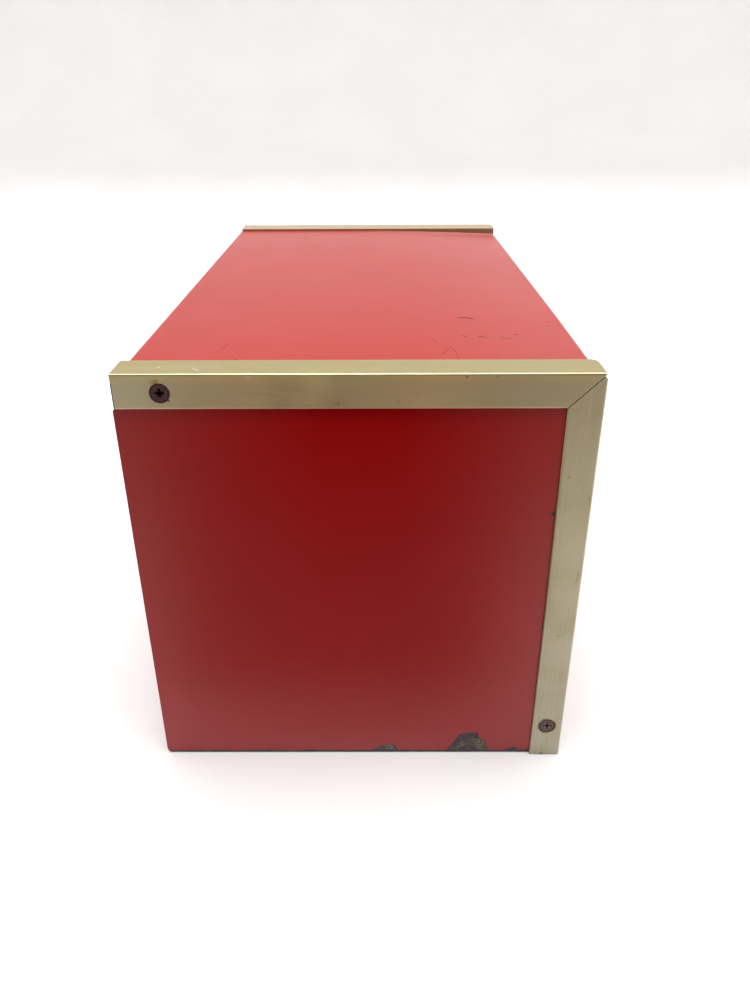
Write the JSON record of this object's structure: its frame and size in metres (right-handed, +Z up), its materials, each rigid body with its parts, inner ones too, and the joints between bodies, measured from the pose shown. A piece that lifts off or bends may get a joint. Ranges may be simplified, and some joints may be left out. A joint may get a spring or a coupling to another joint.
{
  "type": "book drop box",
  "caption": "Small countertop book drop box: red sheet-steel case with metal corner trim, a gravity-flap deposit slot in front and a lockable hinged emptying door behind.",
  "frame": {"origin": "centre of the box's footprint, on the table plane", "axes": "+Y from the emptying door at the rear towards the deposit slot, +X to the right seen from the door, +Z up"},
  "size_m": [0.2046, 0.372, 0.208],
  "materials": {
    "red_paint": "worn gloss red enamel on sheet steel",
    "champagne_trim": "brushed, champagne-gold anodised",
    "aged_screw": "rusted dark steel",
    "zinc_steel": "bright zinc plate",
    "lock_chrome": "polished nickel-chrome",
    "black_rubber": "matte black rubber"
  },
  "bodies": {
    "body": {"body_wrapper": "red_paint", "base_pan": "red_paint", "front_panel": "red_paint", "front_top_trim": "champagne_trim", "front_side_trim": "champagne_trim", "front_trim_screws": "aged_screw", "front_trim_nuts": "zinc_steel", "slot_bezel": "champagne_trim", "bezel_screws": "aged_screw", "bezel_nuts": "zinc_steel", "flap_brackets": "zinc_steel", "flap_rod": "zinc_steel", "rod_retainers": "zinc_steel", "flap_bumpers": "black_rubber", "chute": "zinc_steel", "chute_rivets": "zinc_steel", "base_rivets": "zinc_steel", "floor_mat": "black_rubber", "hinge_leaf_case": "zinc_steel", "hinge_pin": "zinc_steel", "door_bumpers": "black_rubber", "lock_barrel": "lock_chrome", "lock_nut": "zinc_steel"},
    "rear_door": {"door_panel": "red_paint", "door_top_trim": "champagne_trim", "door_side_trim": "champagne_trim", "door_trim_screws": "aged_screw", "door_trim_nuts": "zinc_steel", "hinge_leaf_door": "zinc_steel", "lock_keeper": "zinc_steel"},
    "deposit_flap": {"deposit_flap": "red_paint"},
    "lock_plug": {"lock_plug": "lock_chrome", "lock_cam": "zinc_steel", "cam_screw": "zinc_steel"}
  },
  "joints": [
    {"name": "door_hinge", "type": "hinge", "parent": "body", "child": "rear_door", "pos_m": [-0.10025, -0.18115, 0.0975], "axis": [0, 0, -1], "range_deg": [0, 110]},
    {"name": "flap_hinge", "type": "hinge", "parent": "body", "child": "deposit_flap", "pos_m": [0, 0.1796, 0.19], "axis": [-1, 0, 0], "range_deg": [0, 75]},
    {"name": "lock_turn", "type": "hinge", "parent": "body", "child": "lock_plug", "pos_m": [0.09, -0.1549, 0.112], "axis": [1, 0, 0], "range_deg": [0, 90]}
  ]
}
